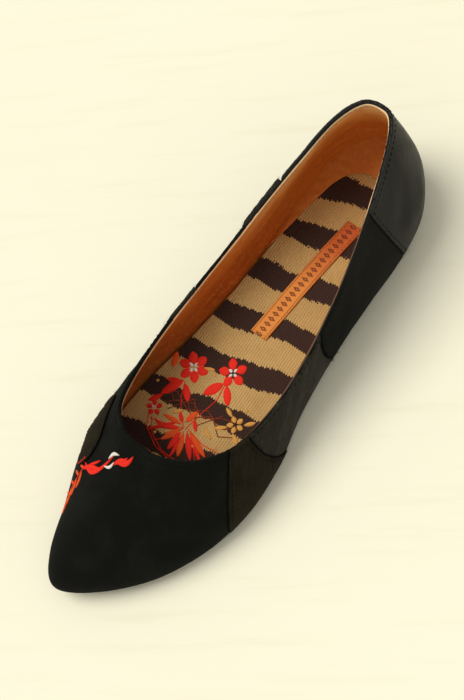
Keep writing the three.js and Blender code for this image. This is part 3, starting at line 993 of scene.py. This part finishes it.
def frayed_fibres():
    """Loose fibres along the patches' cut edges, most on the crinkled patches and along their topline."""
    rng = np.random.default_rng(11)
    spots = []
    for k, (_, _, _, proud, kind) in enumerate(PATCHES):
        count = 150 if kind == "crinkled leather" else 60
        v = rng.uniform(0.03, 0.99, count)
        u = seam_place(k, v) + rng.normal(0, 0.5, count) / girth_per_row(seam_place(k, v), v)
        spots += [(a, b, max(proud, PATCHES[k - 1][3])) for a, b in zip(u, v)]
        if kind == "crinkled leather":
            start, end = seam_place(k, 1.0), seam_place(k + 1, 1.0)
            spots += [(a, 0.985, proud - 0.3) for a in rng.uniform(start, end, int(60 * (end - start)))]
    for middle, height in TORN_CORNERS:
        places = zip(rng.normal(middle, 0.14, TORN_FIBRES), rng.uniform(0.02, height, TORN_FIBRES))
        spots += [(a, b, 0.6) for a, b in places]
    u, v, proud = (np.array(column) for column in zip(*spots))
    points = off(u, v, proud - 0.1)
    normals = outward(u, v)
    ways = normals * rng.uniform(0.1, 0.9, (len(u), 1)) + rng.normal(0, 0.6, (len(u), 3))
    lengths = rng.uniform(0.7, 1.9, len(u))
    thick = rng.uniform(0.07, 0.13, len(u))
    points = points + unit(ways) * (lengths * 0.4)[:, None]
    sizes = np.stack([lengths, thick, thick], 1)
    add_fibres("frayed_fibres", points, ways, normals + 0.01, sizes, "black thread")


# Leaf

LEAF_SEAM = ((15.5, 0.88), (13.8, 0.83), (14.45, 0.5))


def leaf_seam(t):
    """Places of the leaf's seam on the skin, from the rear forward."""
    return [arc(*places, np.asarray(t, float)) for places in zip(*LEAF_SEAM)]


def leaf_ribs(t):
    """Foot, outward way, normal and wall's normal of the leaf along its seam."""
    step = 0.01

    def foot(place):
        return off(*leaf_seam(place), VAMP_PROUD + GAP)

    out = outward(*leaf_seam(t))
    forward = unit(foot(np.minimum(1, t + step)) - foot(np.maximum(0, t - step)))
    down = unit(np.cross(forward, out))
    way = down * math.cos(LEAF_LIFT) + out * math.sin(LEAF_LIFT)
    return foot(t), way, unit(np.cross(way, forward)), out


def leaf_form(s, t):
    """The leaf's face: lobes along its free edge, a low rib to each lobe, and a bend back to the wall."""
    foot, way, normal, out = leaf_ribs(t)
    beat = t * LEAF_TEETH
    uneven = 1 + 0.35 * waves(np.floor(beat) * 3.7, 0, 61, (5.0, 9.0))
    tooth = LEAF_TOOTH * ((beat % 1) ** 0.6 - 1) * uneven
    width = LEAF_WIDTH * np.sin(np.pi * (LEAF_END + (1 - 2 * LEAF_END) * t)) ** LEAF_FULLNESS + tooth * s**2
    across = width * s
    rib = (0.3 * np.sin(np.pi * (beat % 1)) ** 0.7 * s**0.5 + 0.2) * np.sin(np.pi * s) ** 0.5
    height = LEAF_THICKNESS * 0.7 + rib
    bend = LEAF_CURL * (across / LEAF_WIDTH) ** 2
    points = foot + way * across[:, None] + normal * height[:, None] - out * bend[:, None]
    return points, np.stack([across, t * 40], 1)


def add_leaf():
    add_sheet(
        "side_leaf_flap", 28, 18 * LEAF_TEETH, leaf_form, "brushed leather",
        thickness=0.9, stands_for=("side_leaf",),
    )
    t = np.linspace(0.76, 0.98, 60)
    foot, way, normal, _ = leaf_ribs(t)
    points, ways, share = spaced(foot + normal * 1.3 + way * 0.9, 1.5)
    add_stitches(
        "leaf_seam_stitches", points, ways, between(share, t, normal), (1.4, 0.5, 0.4), "red thread"
    )


# Sole and heel

def outline(inset, u):
    """The lower edge in plan, moved in by an inset."""
    return around(u)[..., :2] - inset * edge_outward(u)[..., :2]


SIDE_STEPS = 960


def side_lines(inset):
    """Inner and outer side of the lower edge, each as points in the order of y."""
    line = outline(inset, np.linspace(0, ROUND, 2 * SIDE_STEPS + 1))
    sides = line[SIDE_STEPS:], line[: SIDE_STEPS + 1][::-1]
    return [side[side[:, 1].argsort()] for side in sides]


def sides_at(inset, y):
    """x of the inner and of the outer side of the lower edge."""
    return [np.interp(y, side[:, 1], side[:, 0]) for side in side_lines(inset)]


def insole_top(x, y):
    """Height of the insole's face."""
    left, right = sides_at(WALL + INSOLE_CLEARANCE, y)
    across = np.clip((2 * x - left - right) / np.maximum(right - left, 1), -1, 1)
    return bottom_height(at_y(y)) + INSOLE_THICKNESS + INSOLE_CUP * across**2


SPINE_REAR = 24.0
SPINE_FRONT = 34.0


def along_profile(profile, t):
    """Share out to the rim, inset from it and level, at places along a profile from 0 to 1."""
    steps = np.arange(len(profile))
    return [np.interp(t * steps[-1], steps, column) for column in zip(*profile)]


def spokes(middle, rim, share, inward):
    """Places in plan on the way from a middle to the rim."""
    reach = rim - middle
    length = np.linalg.norm(reach, axis=1)
    return middle + reach * (share * (1 - inward / length))[:, None]


def plate_form(inset, profile, height):
    """A closed plate over the lower edge's outline. Its profile goes from the middle of the underside round
    the rim to the middle of the top. height gives the place of a level."""

    def form(s, t):
        rim = outline(inset, ROUND * s)
        spine_y = np.clip(rim[:, 1], y_at(1) + SPINE_FRONT, HEEL_BACK_Y - SPINE_REAR)
        left, right = sides_at(inset, spine_y)
        share, inward, level = along_profile(profile, t)
        plan = spokes(np.stack([(left + right) / 2, spine_y], 1), rim, share, inward)
        return np.column_stack([plan, height(*plan.T, level)]), plan

    return form


def rounded_rim(radius, thickness, inner_steps):
    """Profile of a plate with rounded rims: share, inset, level from 0 to the thickness."""
    turn = [math.radians(a) for a in (0, 22.5, 45, 67.5, 90)]
    low = [(1, radius * (1 - math.sin(a)), radius * (1 - math.cos(a))) for a in turn]
    high = [(1, radius * (1 - math.cos(a)), thickness - radius * (1 - math.sin(a))) for a in turn]
    inside = [k / inner_steps for k in range(inner_steps)]
    return [(k, 0, 0) for k in inside] + low + high + [(k, 0, thickness) for k in reversed(inside)]


PLATE_COLUMNS = 480
CHANNEL_INSET = 4.5
CHANNEL_END = 3.0


def sole_under(y):
    """Height of the sole's underside."""
    return bottom_height(at_y(y)) - GAP - SOLE_THICKNESS


def add_sole():
    def height(x, y, level):
        return sole_under(y) + level * (SOLE_THICKNESS + 0.2) / SOLE_THICKNESS

    profile = rounded_rim(0.7, SOLE_THICKNESS, 8)
    form = plate_form(SOLE_INSET, profile, height)
    add_sheet(
        "outsole_leather", PLATE_COLUMNS, len(profile) - 1, form, "sole leather",
        merge=True, stands_for=("outsole",),
    )
    channel = outline(SOLE_INSET + CHANNEL_INSET, np.linspace(0, ROUND, 1400))
    line = np.column_stack([channel, sole_under(channel[:, 1])])
    line = line[line[:, 1] < HEEL_BACK_Y - HEEL_LENGTH - CHANNEL_END]
    points, ways, _ = spaced(line, 3.0)
    downward = np.tile([0, 0, -1.0], (len(points), 1))
    points[:, 2] = np.maximum(points[:, 2], 0.2)
    add_stitches("sole_stitches", points, ways, downward, (2.2, 0.6, 0.3), "black thread", "sole_leather")


HEEL_BACK_SHARE = 0.8
HEEL_MIDDLE = (1.0, -2.0)
HEEL_RADIUS = 26.0


def heel_outline(inset, s):
    """The heel's outline in plan: round the back from the outer corner, then along the hollow breast."""
    breast_y = HEEL_BACK_Y - HEEL_LENGTH
    back = max(side[-1, 1] for side in side_lines(inset))
    swing = np.pi * np.clip(s / HEEL_BACK_SHARE, 0, 1)
    y = breast_y + (back - breast_y) * np.sin(swing)
    left, right = sides_at(inset, y)
    x = np.where(swing <= np.pi / 2, right, left)
    along = np.clip((s - HEEL_BACK_SHARE) / (1 - HEEL_BACK_SHARE), 0, 1)
    inner, outer = sides_at(inset, breast_y)
    breast = s > HEEL_BACK_SHARE
    x = np.where(breast, inner + (outer - inner) * along, x)
    y = np.where(breast, breast_y + 4 * BREAST_HOLLOW * along * (1 - along), y)
    return np.stack([x, y], 1)


def heel_form(low, high, profile):
    """A closed piece of the heel between two levels, each given as (inset, height)."""

    def form(s, t):
        share, inward, level = along_profile(profile, t)
        inset = (high[0] - low[0]) * level / (high[1] - low[1])
        rim = heel_outline(low[0], s) * (1 - inset / HEEL_RADIUS)[:, None]
        plan = spokes(np.array(HEEL_MIDDLE), rim, share, inward)
        return np.column_stack([plan, low[1] + level]), plan

    return form


def add_heel():
    seat = float(sole_under(HEEL_BACK_Y))
    ground, lift, block = (
        (HEEL_INSET + HEEL_TAPER, 0.0), (HEEL_INSET + HEEL_TAPER, LIFT_THICKNESS), (HEEL_INSET, seat)
    )
    for name, low, high, radius, finish, node in (
        ("heel_block_leather", lift, block, 0.35, "sole leather", "heel_block"),
        ("heel_top_lift_rubber", ground, lift, 0.4, "lift rubber", "heel_top_lift"),
    ):
        profile = rounded_rim(radius, high[1] - low[1], 6)
        form = heel_form(low, high, profile)
        add_sheet(name, 260, len(profile) - 1, form, finish, merge=True, stands_for=(node,))


# Insole

def add_insole():
    def height(x, y, level):
        under = bottom_height(at_y(y))
        top = insole_top(x, y)
        return under + (top - under) * level / INSOLE_THICKNESS

    profile = rounded_rim(0.8, INSOLE_THICKNESS, 14)
    form = plate_form(WALL + INSOLE_CLEARANCE, profile, height)
    add_sheet(
        "insole_knit_cover", PLATE_COLUMNS, len(profile) - 1, form, "striped knit",
        merge=True, stands_for=("insole",),
    )


def strip_point(s, t, level):
    """A point of the insole strip: s across from 0 to 1, t from its rear end forward."""
    y = HEEL_BACK_Y - STRIP_START - STRIP_LENGTH * t
    middle = STRIP_REAR_SHIFT + (STRIP_FRONT_SHIFT - STRIP_REAR_SHIFT) * t
    x = middle + STRIP_WIDTH * (s - 0.5)
    z = insole_top(x, y) + 0.05 + level
    return np.stack([x, y, z], 1)


def strip_form(s, t):
    s = crowd(s, 0.7)
    t = crowd(t, 0.8)
    edge = np.minimum(np.minimum(s, 1 - s) * STRIP_WIDTH, np.minimum(t, 1 - t) * STRIP_LENGTH)
    curl = 0.12 * waves(t * STRIP_LENGTH, s * STRIP_WIDTH, 5, (9, 14, 23))
    level = (STRIP_THICKNESS + curl) * (0.35 + 0.65 * lip(edge, 0.5))
    return strip_point(s, t, level), np.stack([(s - 0.5) * STRIP_WIDTH, t * STRIP_LENGTH], 1)


STRIP_MARGIN = 0.1
STRIP_END_MARGIN = 0.02


def add_strip():
    add_sheet(
        "insole_strip_leather", 26, 150, strip_form, "strip leather",
        flip=True, thickness=0.3, stands_for=("insole_strip",),
    )
    level = STRIP_THICKNESS + 0.02
    t = np.linspace(STRIP_END_MARGIN, 1 - STRIP_END_MARGIN, 120)
    s = np.linspace(STRIP_MARGIN, 1 - STRIP_MARGIN, 20)
    lines = [strip_point(side + 0 * t, t, level) for side in (STRIP_MARGIN, 1 - STRIP_MARGIN)]
    lines += [strip_point(s, end + 0 * s, level) for end in (STRIP_END_MARGIN, 1 - STRIP_END_MARGIN)]
    points, ways, _ = joined([spaced(line, 1.9) for line in lines])
    upward = np.tile([0, 0, 1.0], (len(points), 1))
    add_stitches("strip_stitches", points, ways, upward, (1.4, 0.42, 0.34), "tan thread")


# Embroidery

def on_insole(a, b):
    """Carrier for stitched shapes on the insole: a is x, b is the distance from the heel back."""
    y = HEEL_BACK_Y - b
    points = np.stack([a, y, insole_top(a, y)], 1)
    return points, np.tile([0, 0, 1.0], (len(points), 1))


def on_skin(u, v):
    """Carrier for stitched lines on the vamp, by places of the skin."""
    normals = outward(u, v)
    return skin(u, v) + normals * VAMP_PROUD, normals


def on_wall(start, end):
    """Carrier on the vamp midway between two places of the skin, and the two places on it, in millimetres."""
    u0, v0 = (start[0] + end[0]) / 2, (start[1] + end[1]) / 2
    step = 0.01
    along = (skin(u0 + step, v0) - skin(u0 - step, v0)) / (2 * step)
    rise = (skin(u0, v0 + step) - skin(u0, v0 - step)) / (2 * step)
    a_way = unit(along)
    b_way = unit(rise - a_way * (rise @ a_way))

    def carrier(a, b):
        dv = b / (rise @ b_way)
        du = (a - dv * (rise @ a_way)) / (along @ a_way)
        return on_skin(u0 + du, np.clip(v0 + dv, 0.02, 0.985))

    def on_carrier(place):
        reach = along * (place[0] - u0) + rise * (place[1] - v0)
        return float(reach @ a_way), float(reach @ b_way)

    return carrier, on_carrier(start), on_carrier(end)


def satin_shape(sheet, carrier, start, end, width, loft=0.55, bow=0.0, blunt=0.6):
    """One satin-stitched shape: padded, pointed at both ends, with its threads as ridges across it."""
    (a0, b0), (a1, b1) = start, end
    long = math.dist(start, end)
    made, places = flat_grid(sheet, max(8, int(long / 0.14)), 8)
    t, s = places[:, 0], 2 * places[:, 1] - 1
    way = np.array([a1 - a0, b1 - b0]) / long
    side = np.array([-way[1], way[0]])
    half = width / 2 * np.sin(np.pi * np.clip(t, 0.004, 0.996)) ** blunt
    ridges = np.sin(2 * np.pi * t * long / 0.5)
    half = half + 0.1 * ridges
    curve = bow * np.sin(np.pi * t)
    a = a0 + way[0] * t * long + side[0] * (s * half + curve)
    b = b0 + way[1] * t * long + side[1] * (s * half + curve)
    points, normals = carrier(a, b)
    level = loft * (1 - s**2) ** 0.5 + 0.09 * ridges * (1 - s**2) - 0.06
    place_grid(sheet, made, points + normals * level[:, None], np.stack([t * long, s * half], 1))


def blossom(carrier, middle, radius, petals, turn=0.0):
    """Petals round a middle, as a list of satin shapes for one colour."""
    shapes = []
    for k in range(petals):
        angle = turn + 2 * math.pi * k / petals
        way = np.array([math.cos(angle), math.sin(angle)])
        start = np.array(middle) + way * radius * 0.22
        end = np.array(middle) + way * radius
        shapes.append((carrier, tuple(start), tuple(end), radius * 0.62))
    return shapes


def add_satin(name, shapes, finish):
    """A piece of satin-stitched shapes in one colour."""
    sheet = bmesh.new()
    for carrier, start, end, width, *rest in shapes:
        satin_shape(sheet, carrier, start, end, width, **(rest[0] if rest else {}))
    add_piece(name, finished_mesh(name, sheet), finish)


def stitched_line(carrier, places, pitch=1.1):
    """Stitches along a line of places on a carrier: points, ways and normals."""
    places = np.array(places, float)
    t = np.linspace(0, len(places) - 1, 12 * len(places))
    line, normals = carrier(*between(t, np.arange(len(places)), places).T)
    points, ways, share = spaced(line, pitch)
    return points, ways, between(share, np.linspace(0, 1, len(line)), normals)


def add_lines(name, lines, finish, thick):
    """A piece of stitched lines in one colour."""
    points, ways, normals = joined([stitched_line(carrier, places) for carrier, places in lines])
    add_stitches(name, points + normals * 0.1, ways, normals, (1.5, thick, thick * 0.8), finish)


# The insole's ornament, as (x, distance from the heel back)
BLOSSOMS = [((-21.5, 135.5), 7.4, 6), ((-4.0, 127.5), 7.0, 5), ((-25.5, 161.0), 4.0, 5)]
PALE_BLOSSOMS = [((11.5, 146.0), 4.2, 5)]
RED_LEAVES = [
    ((-22, 143), (-27, 154), 4.6), ((-20, 144), (-14, 150), 3.6), ((-5, 134), (-10, 143), 5.0),
    ((-3, 134), (3, 141), 4.0), ((-22, 144), (-29, 147), 3.0), ((-10, 162), (-19, 166.5), 3.0),
    ((-8, 163), (-8, 173), 3.2), ((-5, 162), (4, 171), 3.0), ((-26, 154), (-30, 160), 2.8),
    ((-12, 160), (-22, 171), 2.0), ((-6, 164), (-5, 175.5), 2.0), ((-3, 162), (10, 170), 2.0),
    ((-15, 166), (-22, 165), 1.8), ((-14, 156), (-10, 159), 2.2), ((-6, 155), (-2, 159), 2.2),
]
BUDS = [
    ((-9, 162), (-13.5, 171), 3.2), ((-6.5, 163), (-2, 173), 3.2), ((-4, 161), (9, 166), 3.0),
    ((-9, 158), (-7, 151), 3.4), ((-10, 160), (-20, 161), 2.4), ((-30, 141), (-32.5, 134), 3.6),
]
LEAVES = [
    ((9, 149), (4, 153), 2.2), ((13, 150), (18, 153), 2.2), ((8, 144), (3, 142), 2.0),
    ((-13, 154), (-17, 158), 2.0), ((0, 155), (6, 158), 2.0), ((15, 144), (19, 140), 2.2),
    ((-17, 133), (-12, 131), 1.8),
]
DOTS = [(-29, 137), (-11, 133), (12, 138), (-18, 170), (10, 160), (-32, 150), (13, 164), (1, 165), (-14, 167)]
BROWN_VINES = [
    [(-27, 148), (-20, 153), (-11, 149), (-3, 152), (5, 147), (12, 145)],
    [(-28, 152), (-21, 149), (-12, 153), (-3, 148), (6, 152), (13, 148)],
    [(-23, 156), (-15, 149), (-8, 155), (0, 149), (8, 155), (15, 151)],
    [(-20, 158), (-12, 147), (-4, 157), (4, 146)],
]
RED_VINES = [
    [(-21, 143), (-18, 150), (-13, 156), (-8, 161)],
    [(-4, 134), (-3, 142), (-5, 150), (-7, 161)],
    [(-8, 161), (-17, 164), (-24, 166)],
    [(-8, 161), (-11, 168), (-16, 173)],
    [(-7, 162), (-5, 169), (-5, 175)],
    [(-6, 161), (2, 166), (7, 171)],
    [(-6, 160), (4, 162), (14, 161)],
    [(-27, 163), (-23, 170), (-14, 175), (-2, 176.5), (8, 172), (15, 164)],
    [(-24, 165), (-19, 171), (-10, 175), (1, 175), (9, 169)],
]


def add_insole_ornament():
    petals = []
    eyes = []
    for middle, radius, count in BLOSSOMS:
        petals += blossom(on_insole, middle, radius, count, 0.4 * radius)
        eyes += blossom(on_insole, middle, radius * 0.38, 4, 0.2)
    petals += [(on_insole, a, b, width) for a, b, width in RED_LEAVES]
    pale = [(on_insole, a, b, width) for a, b, width in LEAVES]
    for middle, radius, count in PALE_BLOSSOMS:
        pale += blossom(on_insole, middle, radius, count)
    pale += [(on_insole, (x - 0.8, y), (x + 0.8, y), 1.6) for x, y in DOTS]
    add_satin("insole_blossoms", petals, "red thread")
    add_satin("insole_blossom_eyes", eyes, "white thread")
    add_satin("insole_buds", [(on_insole, a, b, width) for a, b, width in BUDS], "orange thread")
    add_satin("insole_leaves", pale, "gold thread")
    add_lines("insole_vines", [(on_insole, vine) for vine in BROWN_VINES], "brown thread", 0.55)
    add_lines("insole_stems", [(on_insole, vine) for vine in RED_VINES], "red thread", 0.5)


# The spray across the inner side of the vamp, below the leaf's seam. Each shape has its two ends on the skin
# (u, v), its width and its bow in millimetres.
SPRAY_RED = [
    ((12.8, 0.87), (12.05, 0.94), 2.4, 2.0),
    ((12.8, 0.85), (12.1, 0.91), 2.4, -1.2),
    ((12.65, 0.88), (12.3, 0.92), 1.2, 0.3),
    ((13.1, 0.87), (14.3, 0.6), 2.3, -3.4),
    ((13.2, 0.78), (14.25, 0.56), 2.3, 2.4),
    ((13.6, 0.78), (14.0, 0.67), 1.3, 0.0),
]
SPRAY_WHITE = [((12.85, 0.9), (13.25, 0.84), 1.7, 1.5), ((12.85, 0.86), (13.2, 0.8), 1.6, -1.3)]
SPRAY_ORANGE = [
    ((14.2, 0.58), (14.45, 0.52), 1.5, 0.0),
    ((14.15, 0.56), (13.85, 0.51), 1.5, 0.0),
    ((14.2, 0.51), (14.45, 0.45), 1.5, 0.0),
    ((14.15, 0.49), (13.85, 0.44), 1.5, 0.0),
    ((14.15, 0.44), (14.35, 0.38), 1.4, 0.0),
    ((14.1, 0.42), (13.75, 0.39), 1.4, 0.0),
    ((14.05, 0.38), (14.2, 0.32), 1.3, 0.0),
    ((13.95, 0.37), (13.6, 0.35), 1.3, 0.0),
]
SPRAY_STEM = [(14.2, 0.6), (14.2, 0.54), (14.18, 0.49), (14.15, 0.44), (14.05, 0.38), (13.85, 0.33)]


def on_vamp(start, end, width, bow):
    return (*on_wall(start, end), width, {"bow": bow})


def add_vamp_ornament():
    add_satin("vamp_petals", [on_vamp(*shape) for shape in SPRAY_RED], "red thread")
    add_satin("vamp_leaves", [on_vamp(*shape) for shape in SPRAY_ORANGE], "orange thread")
    add_satin("vamp_bud", [on_vamp(*shape) for shape in SPRAY_WHITE], "white thread")
    add_lines("vamp_stem", [(on_skin, SPRAY_STEM)], "red thread", 0.6)


# Stage

# The camera stands where the photograph was taken from, in the shoe's own frame, and is aimed at the shoe
CAMERA_SPOT = Vector((256.5, -158.6, 645.5))
CAMERA_AZIMUTH = math.radians(59.1)
CAMERA_ELEVATION = math.radians(65.5)
CAMERA_ROLL = math.radians(-25.0)
FRAME_WIDTH = 464
FRAME_HEIGHT = 700
FOCAL_PIXELS = 950.0
SHOE_MIDDLE_PIXEL = (148.5, 424.0)
ENLARGE = 1.6
SENSOR = 36.0


def camera_turn():
    """Right, up and back directions of the photograph's camera."""
    a, e = CAMERA_AZIMUTH, CAMERA_ELEVATION
    back = Vector((math.sin(a) * math.cos(e), -math.cos(a) * math.cos(e), math.sin(e)))
    right = Vector((math.cos(a), math.sin(a), 0))
    up = back.cross(right)
    c, s = math.cos(CAMERA_ROLL), math.sin(CAMERA_ROLL)
    return right * c + up * s, up * c - right * s, back


def add_camera():
    right, up, back = camera_turn()
    x = (SHOE_MIDDLE_PIXEL[0] - FRAME_WIDTH / 2) / FOCAL_PIXELS
    y = (FRAME_HEIGHT / 2 - SHOE_MIDDLE_PIXEL[1]) / FOCAL_PIXELS
    aim = (right * x + up * y - back).normalized()
    new_right = aim.cross(up).normalized()
    new_up = new_right.cross(aim)
    turn = Matrix((new_right, new_up, -aim)).transposed().to_4x4()
    lens = bpy.data.cameras.new("camera")
    lens.sensor_width = SENSOR
    lens.lens = FOCAL_PIXELS * ENLARGE * SENSOR / FRAME_HEIGHT
    lens.clip_end = 10
    camera = add_object("camera", lens)
    camera.matrix_world = Matrix.Translation(CAMERA_SPOT * MM) @ turn
    bpy.context.scene.camera = camera


def add_sun(name, way, strength, angle, colour):
    """Even soft light from a direction."""
    lamp = bpy.data.lights.new(name, "SUN")
    lamp.energy = strength
    lamp.angle = angle
    lamp.color = colour
    light = add_object(name, lamp)
    light.matrix_world = Vector(way).to_track_quat("Z", "Y").to_matrix().to_4x4()


def add_stage():
    sheet = bmesh.new()
    bmesh.ops.create_grid(sheet, x_segments=1, y_segments=1, size=30)
    mesh = finished_mesh("floor", sheet)
    mesh.materials.append(floor_paint())
    floor = add_object("floor", mesh)
    world = bpy.data.worlds.new("room")
    world.use_nodes = True
    background = world.node_tree.nodes["Background"]
    background.inputs["Color"].default_value = (1.0, 0.985, 0.95, 1.0)
    background.inputs["Strength"].default_value = 0.65
    bpy.context.scene.world = world
    add_sun("key", (-0.44, -0.16, 0.9), 1.95, 0.7, (1.0, 0.98, 0.93))
    bpy.context.scene.view_settings.view_transform = "Standard"


add_camera()
add_stage()
add_patches()
add_upper_layers()
topline_stitches()
seam_stitches()
frayed_fibres()
add_leaf()
add_sole()
add_heel()
add_insole()
add_strip()
add_insole_ornament()
add_vamp_ornament()
